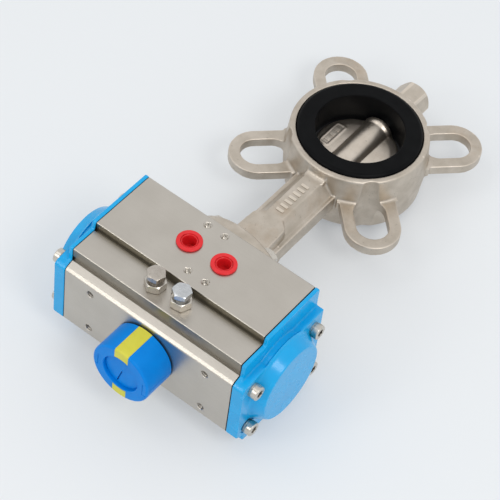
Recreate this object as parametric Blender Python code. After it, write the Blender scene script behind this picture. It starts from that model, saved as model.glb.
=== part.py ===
"""A rack-and-pinion rotary pneumatic actuator bolted to a wafer butterfly valve.

Sizes are in millimetres and each mesh is written in metres. The cylinder lies along X, the
pinion and the valve stem along Y, and the air ports face up. The origin is on the actuator's
lower side face, right under the pinion axis. At rest the valve is closed.
"""

import math

import bmesh
import bpy

MM = 0.001

# Actuator body. Y and Z are measured from the pinion axis.
BODY_LENGTH = 116.0
FACE_Y = 35.5                 # front face at -FACE_Y, valve face at +FACE_Y
BASE_Z = -30.0
PAD_Z = 39.2                  # the port pad's top
PAD_FRONT_Y = -10.1
LEDGE_Z = 33.8
LEDGE_FRONT_Y = -29.1
LIP_Z = 24.4                  # the step below the ledge
FRONT_TOP_Z = 22.9
FOOT_STEP_Z = -24.0
BORE_RADIUS = 26.0
FRONT_BUSH_BORE, REAR_BUSH_BORE = 10.2, 14.0

# Ports and fixing holes.
PORT_X = 12.0
PORT_Y = 13.6
PORT_RADIUS = 5.6
PLUG_RADIUS, PLUG_FLANGE = 5.3, 7.45
PLUG_HOLE, PLUG_MOUTH = 4.0, 4.8
PILOT_PITCH = 16.0            # port centre to each small fixing hole, along Y
SMALL_TAPPED_HOLE = 2.3
BRACKET_X, BRACKET_Z = 40.0, 15.0
FLANGE_BOLT_CIRCLE = 50.0

# End caps and their screws.
GASKET_THICKNESS = 0.7
CAP_LIP_X = 60.9              # outer face of the thin lip that has the body's outline
CAP_PLATE_X = 65.8            # outer face of the thick plate the screws bear on
CAP_END_X = 73.3              # end of the round boss
CAP_PLATE_TOP = 26.2
CAP_BOSS_RADIUS = 23.6
CAP_BOSS_BASE = 28.0
CAP_BOSS_Z = 1.0
CAP_SCREW_Y, CAP_SCREW_Z = 27.0, 16.8
SPOT_FACE_RADIUS, SPOT_FACE_DEPTH = 5.4, 0.3
SCREW_HOLE = 2.8
GAP = 0.3                     # space left between touching pieces

# Rack, pinion and the two travel stops.
MODULE = 1.25
PINION_TEETH = 16
PITCH_RADIUS = MODULE * PINION_TEETH / 2
BACKLASH = 0.3
CAM_RADIUS = 13.3
CAM_FLAT = 8.0
STOP_X, STOP_Y = 8.9, -19.0
PISTON_FACE = 22.0            # inner face of each piston from the pinion axis, at rest
PISTON_THICKNESS = 12.0
PISTON_RADIUS = 25.5

# Position indicator.
INDICATOR_RADIUS = 19.3
INDICATOR_BACK, INDICATOR_FRONT = 36.2, 56.6
STRIPE_HALF = 4.6

# Valve.
VALVE_Y = 161.5
RING_OUTER, RING_INNER, RING_HALF = 42.0, 38.1, 19.75
RING_BELLY, BELLY_HALF = 43.2, 4.0   # the cast ring's outside is widest at mid-height
LINER_BORE, LINER_HALF = 26.9, 21.1
DISC_RADIUS = 26.3
EAR_TIP, EAR_HALF_WIDTH, EAR_HALF_THICK = 77.1, 16.85, 3.2
SLOT_OUTER, SLOT_INNER, SLOT_HALF_WIDTH = 70.1, 40.6, 9.7
FLANGE_RADIUS, FLANGE_BACK, FLANGE_END = 34.6, 35.8, 45.4
STEM_RADIUS = 6.0
STEM_BUSH_POCKET = 8.0        # bores for the stem's bushes inside the neck and the far boss
FAR_BORE = 7.2                # the far boss's bore, closed by the hexagon plug
STEM_PLUG_FLATS = 19.4
PLUG_END_Y = 224.6

# Sides of the round pieces: bores and rings, shafts, and small screws and holes.
LARGE = 32
MEDIUM = 16
SMALL = 8

# Local Z points along +X, towards the front (-Y), towards the valve (+Y), or up.
ALONG_X = (math.pi / 2, 0, math.pi / 2)
TO_FRONT = (math.pi / 2, 0, 0)
TO_VALVE = (-math.pi / 2, 0, 0)
UP = (0, 0, 0)


# ---- shapes -------------------------------------------------------------------------------

def circle(radius, segments, start=0.0, x=0.0, y=0.0):
    """Points of a circle about (x, y)."""
    step = 2 * math.pi / segments
    return [(x + radius * math.cos(start + i * step), y + radius * math.sin(start + i * step))
            for i in range(segments)]


def arc(radius, first, last, steps, x=0.0, y=0.0):
    """Points of an arc about (x, y), angles in degrees."""
    angles = [math.radians(first + (last - first) * i / steps) for i in range(steps + 1)]
    return [(x + radius * math.cos(a), y + radius * math.sin(a)) for a in angles]


def hexagon(across_flats, start=0.0):
    return circle(across_flats / math.sqrt(3), 6, start)


def rounded(corners, steps=2):
    """An outline from (x, y, radius) corners, each corner turned into an arc."""
    points = []
    for i, (x, y, radius) in enumerate(corners):
        if radius == 0:
            points.append((x, y))
            continue
        ends = []
        for other in (corners[i - 1], corners[(i + 1) % len(corners)]):
            dx, dy = other[0] - x, other[1] - y
            length = math.hypot(dx, dy)
            ends.append((dx / length, dy / length))
        (ax, ay), (bx, by) = ends
        half = math.acos(max(-1.0, min(1.0, ax * bx + ay * by))) / 2
        back = radius / math.tan(half)
        for k in range(steps + 1):
            t = k / steps
            # A quadratic curve between the two tangent points, close to a true arc.
            near, far = back * (1 - t) ** 2, back * t ** 2
            points.append((x + near * ax + far * bx, y + near * ay + far * by))
    return points


def prism(outline, low, high):
    """A closed outline in XY carried from low to high along Z."""
    bm = bmesh.new()
    lower = [bm.verts.new((x, y, low)) for x, y in outline]
    upper = [bm.verts.new((x, y, high)) for x, y in outline]
    bm.faces.new(lower[::-1])
    bm.faces.new(upper)
    bridge(bm, lower, upper)
    return bm


def turned(profile, segments=MEDIUM, ring=False):
    """A (radius, height) profile turned about Z: a ring, or a body capped at both ends."""
    bm = bmesh.new()
    loops = [[bm.verts.new((x, y, height)) for x, y in circle(radius, segments)]
             for radius, height in profile]
    pairs = list(zip(loops, loops[1:]))
    if ring:
        pairs.append((loops[-1], loops[0]))
    else:
        bm.faces.new(loops[0])
        bm.faces.new(loops[-1])
    for first, second in pairs:
        bridge(bm, first, second)
    return bm


def bridge(bm, first, second):
    for i in range(len(first)):
        j = (i + 1) % len(first)
        bm.faces.new((first[i], first[j], second[j], second[i]))


def drills(places, radius, low, high, segments=SMALL):
    """Cylinders at several (x, y) places in one mesh, for cutting holes."""
    bm = bmesh.new()
    for x, y in places:
        outline = circle(radius, segments, 0.0, x, y)
        lower = [bm.verts.new((u, v, low)) for u, v in outline]
        upper = [bm.verts.new((u, v, high)) for u, v in outline]
        bm.faces.new(lower[::-1])
        bm.faces.new(upper)
        bridge(bm, lower, upper)
    return bm


def round_bar(radius, low, high, segments=MEDIUM):
    return prism(circle(radius, segments), low, high)


def box(x0, x1, y0, y1, z0, z1):
    return prism([(x0, y0), (x1, y0), (x1, y1), (x0, y1)], z0, z1)


# ---- objects ------------------------------------------------------------------------------

def material(name, colour, metallic, roughness):
    made = bpy.data.materials.new(name)
    made.use_nodes = True
    shader = made.node_tree.nodes["Principled BSDF"]
    shader.inputs["Base Color"].default_value = (*colour, 1.0)
    shader.inputs["Metallic"].default_value = metallic
    shader.inputs["Roughness"].default_value = roughness
    return made


def empty(name, parent, location):
    made = bpy.data.objects.new(name, None)
    bpy.context.collection.objects.link(made)
    made.parent = parent
    made.location = [value * MM for value in location]
    return made


def place(name, bm, paint, parent, location=(0, 0, 0), turn=UP):
    """Turn a mesh built in millimetres into a placed object in metres."""
    bmesh.ops.scale(bm, vec=(MM, MM, MM), verts=bm.verts)
    bmesh.ops.recalc_face_normals(bm, faces=bm.faces)
    mesh = bpy.data.meshes.new(name)
    bm.to_mesh(mesh)
    bm.free()
    mesh.shade_smooth()
    mesh.set_sharp_from_angle(angle=math.radians(35))
    if paint:
        mesh.materials.append(paint)
    made = bpy.data.objects.new(name, mesh)
    bpy.context.collection.objects.link(made)
    made.parent = parent
    made.location = [value * MM for value in location]
    made.rotation_euler = turn
    return made


def combine(target, operation, bm, location=(0, 0, 0), turn=UP):
    """Add a Boolean with a guide object that is left out of the finished part."""
    count = len(target.modifiers)
    guide = place(f"{target.name}_guide_{count}", bm, None, target.parent, location, turn)
    guide.hide_render = True
    guide.display_type = 'WIRE'
    modifier = target.modifiers.new(f"{operation.lower()}_{count}", 'BOOLEAN')
    modifier.operation = operation
    modifier.solver = 'EXACT'
    modifier.object = guide


def cut(target, bm, location=(0, 0, 0), turn=UP):
    combine(target, 'DIFFERENCE', bm, location, turn)


def join(target, bm, location=(0, 0, 0), turn=UP):
    combine(target, 'UNION', bm, location, turn)


# ---- actuator housing ---------------------------------------------------------------------

def body_corners(grow=0.0, grooves=True):
    """The extrusion's cross-section as (y, z, corner radius)."""
    g = grow
    corners = [
        (-FACE_Y - g, -21.0, 2.0),
        (-FACE_Y - g, FRONT_TOP_Z - 1.6, 1.6),
        (-33.6, FRONT_TOP_Z + g, 1.2),
    ]
    if grooves:
        corners += [
            (LEDGE_FRONT_Y - 0.4, LIP_Z, 0.4),
            (LEDGE_FRONT_Y + 1.1, LIP_Z, 0), (LEDGE_FRONT_Y + 1.1, LIP_Z + 3.4, 0),
            (LEDGE_FRONT_Y, LIP_Z + 3.4, 0),
            (LEDGE_FRONT_Y, LEDGE_Z, 0.7),
            (PAD_FRONT_Y - 1.2, LEDGE_Z, 0.4),
            (PAD_FRONT_Y - 1.2, LEDGE_Z - 1.5, 0), (PAD_FRONT_Y, LEDGE_Z - 1.5, 0),
        ]
    else:
        corners += [
            (LEDGE_FRONT_Y - 0.4 - g, LIP_Z + g, 0.8),
            (LEDGE_FRONT_Y - g, LEDGE_Z + g, 1.5),
            (PAD_FRONT_Y - 1.0 - g, LEDGE_Z + g, 0.8),
        ]
    corners += [
        (PAD_FRONT_Y - g, PAD_Z + g, 0.7 if grooves else 1.8),
        (FACE_Y + g, PAD_Z + g, 1.5),
        (FACE_Y + g, BASE_Z - g, 3.0),
        (LEDGE_FRONT_Y, BASE_Z - g, 1.5),
        (LEDGE_FRONT_Y - 0.4, FOOT_STEP_Z, 0.5),
        (-33.6, FOOT_STEP_Z + 1.2, 1.0),
    ]
    return corners


def cap_screw_places():
    return [(y, z) for y in (-CAP_SCREW_Y, CAP_SCREW_Y) for z in (-CAP_SCREW_Z, CAP_SCREW_Z)]


def flange_bolt_places():
    offset = FLANGE_BOLT_CIRCLE / 2 / math.sqrt(2)
    return [(x, z) for x in (-offset, offset) for z in (-offset, offset)]


def cylinder_body(frame, paint):
    half = BODY_LENGTH / 2
    body = place("cylinder_body", prism(rounded(body_corners()), -half, half), paint, frame,
                 turn=ALONG_X)
    cut(body, round_bar(BORE_RADIUS, -half - 1, half + 1, LARGE), turn=ALONG_X)
    cut(body, round_bar(FRONT_BUSH_BORE, 20, 40), turn=TO_FRONT)
    cut(body, round_bar(REAR_BUSH_BORE, -25, 40), turn=TO_VALVE)
    for low, high in ((half - 14, half + 1), (-half - 1, -half + 14)):
        cut(body, drills(cap_screw_places(), SCREW_HOLE, low, high), turn=ALONG_X)
    bracket = [(x, z) for x in (-BRACKET_X, BRACKET_X) for z in (-BRACKET_Z, BRACKET_Z)]
    cut(body, drills(bracket, SMALL_TAPPED_HOLE, FACE_Y - 8, FACE_Y + 1), turn=TO_FRONT)
    cut(body, drills(flange_bolt_places(), 2.9, FACE_Y - 12, FACE_Y + 1), turn=TO_VALVE)
    cut(body, drills([(-PORT_X, PORT_Y)], PORT_RADIUS, 31.2, PAD_Z + 1, MEDIUM))
    cut(body, drills([(PORT_X, PORT_Y)], PORT_RADIUS, 25.6, PAD_Z + 1, MEDIUM))
    pilots = [(-PORT_X, PORT_Y + PILOT_PITCH), (0, PORT_Y + PILOT_PITCH),
              (0, PORT_Y - PILOT_PITCH), (PORT_X, PORT_Y - PILOT_PITCH)]
    cut(body, drills(pilots, SMALL_TAPPED_HOLE, PAD_Z - 6, PAD_Z + 1))
    # The air passages: one port opens into the bore, the other into a channel to both ends.
    cut(body, drills([(-PORT_X, PORT_Y)], 1.8, 15, 32))
    cut(body, drills([(18.0, 27.6)], 1.5, -half - 1, half + 1), turn=ALONG_X)
    cut(body, drills([(-STOP_X, STOP_Y), (STOP_X, STOP_Y)], 3.1, 10, LEDGE_Z + 1))
    return body


def side_turn(side):
    """Local Z points out of the end cap on that side; the left one is mirrored in Y."""
    return (math.pi / 2, 0, side * math.pi / 2)


def cap_plate_corners():
    """Outline of the cap's thick plate: as the body's, but with a low flat top."""
    front, rear = -FACE_Y - 0.2, FACE_Y + 0.1
    return [
        (front, -21.0, 2.0),
        (front, FRONT_TOP_Z - 1.6, 1.6),
        (front + 2.1, FRONT_TOP_Z + 0.2, 1.2),
        (-22.0, CAP_PLATE_TOP - 1.6, 6.0),
        (rear, CAP_PLATE_TOP, 1.5),
        (rear, BASE_Z - 0.1, 3.0),
        (LEDGE_FRONT_Y, BASE_Z - 0.1, 1.5),
        (LEDGE_FRONT_Y - 0.4, FOOT_STEP_Z, 0.5),
        (front + 2.1, FOOT_STEP_Z + 1.2, 1.0),
    ]


def end_cap(name, side, frame, paint):
    """A cast cap: a thin lip with the body's outline, a thick plate and a round boss."""
    inner = BODY_LENGTH / 2 + GASKET_THICKNESS + GAP
    turn = side_turn(side)
    lip = [(side * y, z, radius) for y, z, radius in body_corners(0.2, grooves=False)]
    cap = place(name, prism(rounded(lip), inner, CAP_LIP_X), paint, frame, turn=turn)
    plate = [(side * y, z, radius) for y, z, radius in cap_plate_corners()]
    join(cap, prism(rounded(plate), CAP_LIP_X - 1, CAP_PLATE_X), turn=turn)
    boss = [(CAP_BOSS_BASE, CAP_LIP_X - 1), (CAP_BOSS_BASE, CAP_PLATE_X),
            (CAP_BOSS_BASE - 1.9, CAP_PLATE_X + 1.6), (CAP_BOSS_BASE - 2.6, CAP_PLATE_X + 3.6),
            (CAP_BOSS_RADIUS + 0.8, CAP_END_X - 0.9), (CAP_BOSS_RADIUS, CAP_END_X)]
    join(cap, turned(boss, LARGE), (0, 0, CAP_BOSS_Z), turn)
    hollow = [(22.5, inner - 1), (22.5, inner + 5), (19.0, CAP_END_X - 4)]
    cut(cap, turned(hollow), turn=turn)
    places = [(side * y, z) for y, z in cap_screw_places()]
    cut(cap, drills(places, SPOT_FACE_RADIUS, CAP_PLATE_X - SPOT_FACE_DEPTH, CAP_END_X + 1,
                    MEDIUM), turn=turn)
    cut(cap, drills(places, SCREW_HOLE, inner - 1, CAP_PLATE_X), turn=turn)
    return cap


def cap_gasket(name, side, frame, paint):
    low = BODY_LENGTH / 2 + GAP / 2
    turn = side_turn(side)
    corners = [(side * y, z, radius) for y, z, radius in body_corners(-0.5, grooves=False)]
    high = low + GASKET_THICKNESS
    gasket = place(name, prism(rounded(corners), low, high), paint, frame, turn=turn)
    cut(gasket, round_bar(BORE_RADIUS, low - 1, high + 1, LARGE), turn=turn)
    places = [(side * y, z) for y, z in cap_screw_places()]
    cut(gasket, drills(places, SCREW_HOLE, low - 1, high + 1), turn=turn)
    return gasket


def socket_screw(name, paint, parent, location, turn):
    """An M5 socket head screw. Its head's seat is at its own origin, the head on +Z."""
    profile = [(2.4, -17.5), (2.4, 0), (4.2, 0), (4.4, 0.3), (4.4, 4.8), (4.0, 5.2)]
    screw = place(name, turned(profile, SMALL), paint, parent, location, turn)
    cut(screw, prism(hexagon(4.2), 2.4, 7.0), location, turn)
    return screw


def end_cap_screws(frame, paint):
    seat = CAP_PLATE_X - SPOT_FACE_DEPTH + GAP
    number = 1
    for side in (-1, 1):
        turn = side_turn(side)
        for y, z in cap_screw_places():
            socket_screw(f"end_cap_screw_{number}", paint, frame, (side * seat, y, z), turn)
            number += 1


def port_plug(name, x, frame, paint):
    """A plastic transit plug: a deep cup with a thin flange that lies on the pad."""
    top = PAD_Z + 0.2
    profile = [(PLUG_HOLE, 32.8), (PLUG_HOLE, 37.4), (PLUG_MOUTH, 38.2), (PLUG_MOUTH, top + 1.0),
               (PLUG_MOUTH + 0.2, top + 1.2), (PLUG_FLANGE - 0.3, top + 1.2),
               (PLUG_FLANGE, top + 0.9), (PLUG_FLANGE, top), (PLUG_RADIUS, top),
               (PLUG_RADIUS, 31.5)]
    return place(name, turned(profile), paint, frame, (x, PORT_Y, 0))


def stop_bolt(name, x, spin, frame, paint):
    head_low, head_high = 42.0, 46.0
    shank = turned([(2.3, CAM_FLAT + GAP), (2.8, CAM_FLAT + 1.2), (2.8, head_low + 1)], SMALL)
    bolt = place(name, shank, paint, frame, (x, STOP_Y, 0))
    join(bolt, prism(hexagon(10.0, spin), head_low, head_high), (x, STOP_Y, 0))
    return bolt


def stop_nut(name, x, spin, frame, paint):
    low, high = LEDGE_Z + 0.2, LEDGE_Z + 5.6
    nut = place(name, prism(hexagon(11.2, spin), low, high), paint, frame, (x, STOP_Y, 0))
    cut(nut, round_bar(3.1, low - 1, high + 1, SMALL), (x, STOP_Y, 0))
    return nut


# ---- pinion, racks and pistons ------------------------------------------------------------

def gear_outline():
    """An involute spur gear outline with one tooth centred on +X."""
    pressure = math.radians(20)
    base = PITCH_RADIUS * math.cos(pressure)
    root = PITCH_RADIUS - 1.25 * MODULE
    tip = PITCH_RADIUS + MODULE
    half_tooth = math.pi / (2 * PINION_TEETH) - BACKLASH / 2 / PITCH_RADIUS
    at_pitch = math.tan(pressure) - pressure

    def half_angle(radius):
        angle = math.acos(min(1.0, base / radius))
        return half_tooth + at_pitch - (math.tan(angle) - angle)

    flank = [(root, half_angle(base)), (base, half_angle(base)),
             (PITCH_RADIUS, half_angle(PITCH_RADIUS)), (tip, half_angle(tip))]
    points = []
    for tooth in range(PINION_TEETH):
        centre = 2 * math.pi * tooth / PINION_TEETH
        sides = [(r, centre - a) for r, a in flank] + [(r, centre + a) for r, a in flank[::-1]]
        points += [(r * math.cos(a), r * math.sin(a)) for r, a in sides]
    return points


def cam_outline():
    """The stop cam: one flat meets a stop bolt at each end of the quarter turn."""
    reach = math.degrees(math.asin(CAM_FLAT / CAM_RADIUS))
    return arc(CAM_FLAT, 0, 90, 5) + arc(CAM_RADIUS, 180 - reach, 270 + reach, 10)


def pinion(rotor, paint):
    profile = [(9.6, -35.2), (9.6, -30.4), (8.0, -30.4), (8.0, -27.6), (9.6, -27.6),
               (9.6, -22.0), (8.2, -20.0), (8.2, 14.0), (7.5, 25.0), (7.5, 28.0), (6.0, 28.0),
               (6.0, 30.6), (7.5, 30.6), (7.5, 37.0), (6.7, 37.0), (6.7, 38.4), (7.5, 38.4),
               (7.5, 51.4), (6.8, 52.1)]
    gear = place("pinion", turned(profile), paint, rotor, turn=TO_FRONT)
    join(gear, prism(gear_outline(), -12, 12), turn=TO_FRONT)
    join(gear, prism(cam_outline(), 14.5, 23.5), turn=TO_FRONT)
    cut(gear, prism(circle(9.4 / math.sqrt(2), 4, math.pi / 4), -40, -19), turn=TO_FRONT)
    return gear


def ring(name, inner, outer, low, high, paint, parent, turn=TO_FRONT, segments=MEDIUM):
    profile = [(inner, low), (outer, low), (outer, high), (inner, high)]
    return place(name, turned(profile, segments, ring=True), paint, parent, turn=turn)


def o_ring(name, inner, outer, middle, paint, parent, turn=TO_FRONT, segments=MEDIUM):
    radius = (outer - inner) / 2
    profile = circle(radius, 4, 0, inner + radius, middle)
    return place(name, turned(profile, segments, ring=True), paint, parent, turn=turn)


def snap_ring(rotor, paint):
    clip = ring("snap_ring", 6.9, 10.4, 37.15, 38.25, paint, rotor)
    cut(clip, box(4, 12, -2.6, 2.6, 36, 39), turn=TO_FRONT)
    return clip


def rack_outline():
    """The rack arm's side view in XZ, teeth down, above the pinion."""
    pitch = math.pi * MODULE
    root_z = PITCH_RADIUS + 1.3 * MODULE
    tip_z = PITCH_RADIUS - 0.85 * MODULE
    slope = math.tan(math.radians(20))
    half_pitch_tooth = pitch / 4
    points = [(-PISTON_FACE - 2, root_z)]
    first = -4
    for tooth in range(first, 5):
        centre = (tooth + 0.5) * pitch
        wide = half_pitch_tooth + (root_z - PITCH_RADIUS) * slope
        thin = half_pitch_tooth - (PITCH_RADIUS - tip_z) * slope
        points += [(centre - wide, root_z), (centre - thin, tip_z),
                   (centre + thin, tip_z), (centre + wide, root_z)]
    points += [(20.5, root_z), (20.5, 19.0), (-PISTON_FACE - 2, 19.0)]
    return points


def piston(name, slide, turn_y, paint):
    """A piston disc with its rack arm. Both pistons are one casting, turned half a turn."""
    back = PISTON_FACE + PISTON_THICKNESS
    r = PISTON_RADIUS
    profile = [(18.0, PISTON_FACE + 5), (18.0, back), (r - 0.6, back), (r, back - 0.6),
               (r, back - 3.0), (23.6, back - 3.0), (23.6, back - 5.8), (r, back - 5.8),
               (r, PISTON_FACE + 5.0), (24.3, PISTON_FACE + 5.0), (24.3, PISTON_FACE + 1.2),
               (r, PISTON_FACE + 1.2), (r, PISTON_FACE)]
    turn = (math.pi / 2, 0, -math.pi / 2)
    disc = place(name, turned(profile, LARGE), paint, slide, turn=turn)
    join(disc, prism(rack_outline(), -9.5, 9.5), turn=TO_FRONT)
    slide.rotation_euler = (0, turn_y, 0)
    return disc


def piston_rings(side_name, slide, rubber, plastic):
    turn = (math.pi / 2, 0, -math.pi / 2)
    back = PISTON_FACE + PISTON_THICKNESS
    o_ring(f"{side_name}_piston_o_ring", 23.7, 25.8, back - 4.4, rubber, slide, turn, LARGE)
    ring(f"{side_name}_piston_band", 24.5, 25.8, PISTON_FACE + 1.4, PISTON_FACE + 4.8, plastic,
         slide, turn, LARGE)


def guide_pad(name, slide, paint):
    """A plastic pad on the rack arm's back that slides on the cylinder's wall."""
    crown = arc(BORE_RADIUS - 0.5, 76, 104, 4)
    outline = [(crown[-1][0], 19.2), (crown[0][0], 19.2)] + crown
    return place(name, prism(outline, -6, 14), paint, slide, turn=ALONG_X)


# ---- position indicator -------------------------------------------------------------------

def indicator_profile(depth):
    """The stripe's layer: the indicator's rim and side, down to a depth below its surface."""
    r, front, chamfer = INDICATOR_RADIUS, INDICATOR_FRONT, 1.9
    return [(r - depth, INDICATOR_BACK - 1 + depth / 2), (r + 1, INDICATOR_BACK - 1 + depth / 2),
            (r + 1, front - chamfer), (r - chamfer, front + 1), (12.9 - depth / 3, front + 1),
            (12.9 - depth / 3, front - depth), (r - chamfer - depth * 0.6, front - depth),
            (r - depth, front - chamfer - depth * 0.6)]


def indicator_cap(rotor, paint):
    r, front = INDICATOR_RADIUS, INDICATOR_FRONT
    profile = [(12.2, front - 2.0), (12.2, front - 0.3), (12.6, front), (r - 1.8, front),
               (r - 0.5, front - 0.6), (r, front - 1.8), (r, INDICATOR_BACK),
               (17.3, INDICATOR_BACK), (17.3, 52.2), (9.8, 52.2), (9.8, 39.0), (7.8, 39.0),
               (7.8, 52.6)]
    cap = place("indicator_cap", turned(profile, LARGE), paint, rotor, turn=TO_FRONT)
    wide = STRIPE_HALF + 0.12
    for sign in (-1, 1):
        layer = place(f"indicator_layer_{sign + 1}", turned(indicator_profile(1.3), LARGE, True),
                      None, rotor, turn=TO_FRONT)
        slab = box(-wide, wide, 4 * sign, 24 * sign, 30, 60) if sign > 0 else \
            box(-wide, wide, 24 * sign, 4 * sign, 30, 60)
        combine(layer, 'INTERSECT', slab, turn=TO_FRONT)
        layer.hide_render = True
        layer.display_type = 'WIRE'
        pocket = cap.modifiers.new(f"stripe_{sign + 1}", 'BOOLEAN')
        pocket.operation = 'DIFFERENCE'
        pocket.solver = 'EXACT'
        pocket.object = layer
    return cap


def indicator_stripe(name, sign, rotor, paint):
    """One yellow insert: a strip along the side that turns over the rim."""
    r, front, deep = INDICATOR_RADIUS, INDICATOR_FRONT, 1.1
    profile = [(r - deep, INDICATOR_BACK + 0.1), (r, INDICATOR_BACK + 0.1), (r, front - 1.8),
               (r - 0.5, front - 0.6), (r - 1.8, front), (13.0, front), (13.0, front - deep),
               (r - 2.5, front - deep), (r - deep, front - 2.6)]
    stripe = place(name, turned(profile, LARGE, ring=True), paint, rotor, turn=TO_FRONT)
    low, high = sorted((4 * sign, 24 * sign))
    combine(stripe, 'INTERSECT', box(-STRIPE_HALF, STRIPE_HALF, low, high, 30, 60),
            turn=TO_FRONT)
    return stripe


# ---- valve --------------------------------------------------------------------------------

def ear_outline(angle, tip, half_width, inner, round_inner=False):
    """A U-shaped bar that points away from the valve's centre at an angle."""
    centre = tip - half_width
    outline = arc(half_width, -90, 90, 7, centre, 0)
    if round_inner:
        outline += arc(half_width, 90, 270, 6, inner + half_width, 0)
    else:
        outline += [(inner, half_width), (inner, -half_width)]
    c, s = math.cos(angle), math.sin(angle)
    return [(x * c - y * s, x * s + y * c) for x, y in outline]


def neck_section():
    """Half of the neck's cross-section in (x, z), mirrored into the whole outline."""
    quarter = [(14.2, 0), (14.2, 5.2), (12.7, 5.2), (11.9, 4.5), (6.0, 13.2), (5.2, 14.0)]
    upper = quarter + [(-x, z) for x, z in quarter[::-1]]
    lower = [(x, -z) for x, z in upper[-2:0:-1]]
    return upper + lower


def valve_body(valve, paint):
    r0, r1, h = RING_INNER, RING_OUTER, RING_HALF
    profile = [(r0, -h + 0.4), (r0 + 0.4, -h), (r1 - 1.0, -h), (r1, -h + 1.0),
               (RING_BELLY, -BELLY_HALF), (RING_BELLY, BELLY_HALF), (r1, h - 1.0),
               (r1 - 1.0, h), (r0 + 0.4, h), (r0, h - 0.4)]
    body = place("valve_body", turned(profile, LARGE, ring=True), paint, valve)
    angles = [math.radians(45 + 90 * i) for i in range(4)]
    for angle in angles:
        ear = ear_outline(angle, EAR_TIP, EAR_HALF_WIDTH, RING_INNER + 1.5)
        join(body, prism(ear, -EAR_HALF_THICK, EAR_HALF_THICK))
    for angle in angles:
        slot = ear_outline(angle, SLOT_OUTER, SLOT_HALF_WIDTH, SLOT_INNER, round_inner=True)
        cut(body, prism(slot, -RING_HALF - 1, RING_HALF + 1))
    near = FLANGE_END - VALVE_Y
    # The neck, its block beside the flange, the flange, and the far boss.
    join(body, prism(neck_section(), -near + 1, -near - 77), turn=TO_FRONT)
    block = rounded([(-12.4, near - 1, 0), (12.4, near - 1, 0), (12.0, near + 14, 0),
                     (11.2, near + 29, 4.0), (5.4, near + 34, 0), (-5.4, near + 34, 0),
                     (-11.2, near + 29, 4.0), (-12.0, near + 14, 0)])
    join(body, prism(block, -13.9, 13.9))
    far = FLANGE_BACK - VALVE_Y
    flange = [(FLANGE_RADIUS - 0.8, far), (FLANGE_RADIUS, far + 0.8),
              (FLANGE_RADIUS, near - 0.8), (FLANGE_RADIUS - 0.8, near)]
    join(body, turned(flange, LARGE), turn=TO_VALVE)
    join(body, turned([(12.5, 40.0), (10.5, 45.0), (10.0, 47.6)]), turn=TO_VALVE)
    cut(body, drills(flange_bolt_places(), 3.3, FLANGE_BACK - VALVE_Y - 1, near + 1),
        turn=TO_VALVE)
    # The stem's way through: bush pockets at both ends of the neck, and the far bearing.
    top = far
    pocket, clear = STEM_BUSH_POCKET, STEM_RADIUS + 0.4
    stem_way = [(pocket + 0.6, top - 1), (pocket + 0.6, top + 11), (clear, top + 11),
                (clear, -56), (pocket, -56), (pocket, -36)]
    cut(body, turned(stem_way), turn=TO_VALVE)
    far_way = [(pocket, 36), (pocket, 42.6), (FAR_BORE, 42.6), (FAR_BORE, 50)]
    cut(body, turned(far_way), turn=TO_VALVE)
    return body


def seat_liner(valve, paint):
    inner, outer, h, bend = LINER_BORE, RING_INNER - 0.3, LINER_HALF, 2.3
    upper = arc(bend, 0, 90, 2, outer - bend, h - bend)
    profile = upper + [(inner + 0.6, h), (inner, h - 0.6), (inner, 0.6 - h), (inner + 0.6, -h)]
    profile += [(x, -z) for x, z in upper[::-1]]
    liner = place("seat_liner", turned(profile, LARGE, ring=True), paint, valve)
    cut(liner, round_bar(6.4, 20, 40), turn=TO_VALVE)
    cut(liner, round_bar(6.4, 20, 40), turn=TO_FRONT)
    return liner


def valve_disc(rotor, paint):
    """The disc, its hub along the stem, a collar at each hub end, and a raised pad."""
    at = (0, VALVE_Y, 0)
    profile = [(20.0, -3.0), (25.4, -2.0), (DISC_RADIUS, -1.2), (DISC_RADIUS, 1.2),
               (25.4, 2.0), (20.0, 3.0)]
    disc = place("valve_disc", turned(profile, LARGE), paint, rotor, at)
    hub = [(10.4, -24.4), (10.4, -20.8), (8.8, -20.0), (8.8, 20.0), (10.4, 20.8), (10.4, 24.4)]
    join(disc, turned(hub), at, TO_VALVE)
    pad = rounded([(-21.5, -10, 2), (-13.0, -10, 2), (-13.0, 10, 2), (-21.5, 10, 2)])
    join(disc, prism(pad, 0, 3.6), at)
    square = circle(8.6 / math.sqrt(2), 4, math.pi / 4)
    cut(disc, prism(square, -28, -14.5), at, TO_VALVE)
    cut(disc, round_bar(STEM_RADIUS + 0.3, -28, -22.9), at, TO_VALVE)
    cut(disc, round_bar(STEM_RADIUS + 0.3, 16.5, 28), at, TO_VALVE)
    return disc


def upper_stem(rotor, paint):
    """A bar with a square at each end: one in the pinion, the other in the disc's hub."""
    groove = VALVE_Y - 60
    profile = [(STEM_RADIUS, 35.6), (STEM_RADIUS, groove), (5.0, groove), (5.0, groove + 2.4),
               (STEM_RADIUS, groove + 2.4), (STEM_RADIUS, VALVE_Y - 23.4)]
    stem = place("upper_stem", turned(profile), paint, rotor, turn=TO_VALVE)
    drive = circle(9.0 / math.sqrt(2), 4, math.pi / 4)
    join(stem, prism(drive, 20.5, 36.2), turn=TO_VALVE)
    tang = circle(8.2 / math.sqrt(2), 4, math.pi / 4)
    join(stem, prism(tang, VALVE_Y - 24, VALVE_Y - 15), turn=TO_VALVE)
    return stem


def stem_end_plug(frame, paint):
    """The hexagon plug that closes the far bearing."""
    low = VALVE_Y + 48.0
    outline = hexagon(STEM_PLUG_FLATS, 0.18)
    plug = place("stem_end_plug", prism(outline, low, PLUG_END_Y), paint, frame, turn=TO_VALVE)
    join(plug, round_bar(FAR_BORE - GAP, VALVE_Y + 43.6, low + 1), turn=TO_VALVE)
    return plug


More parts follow.
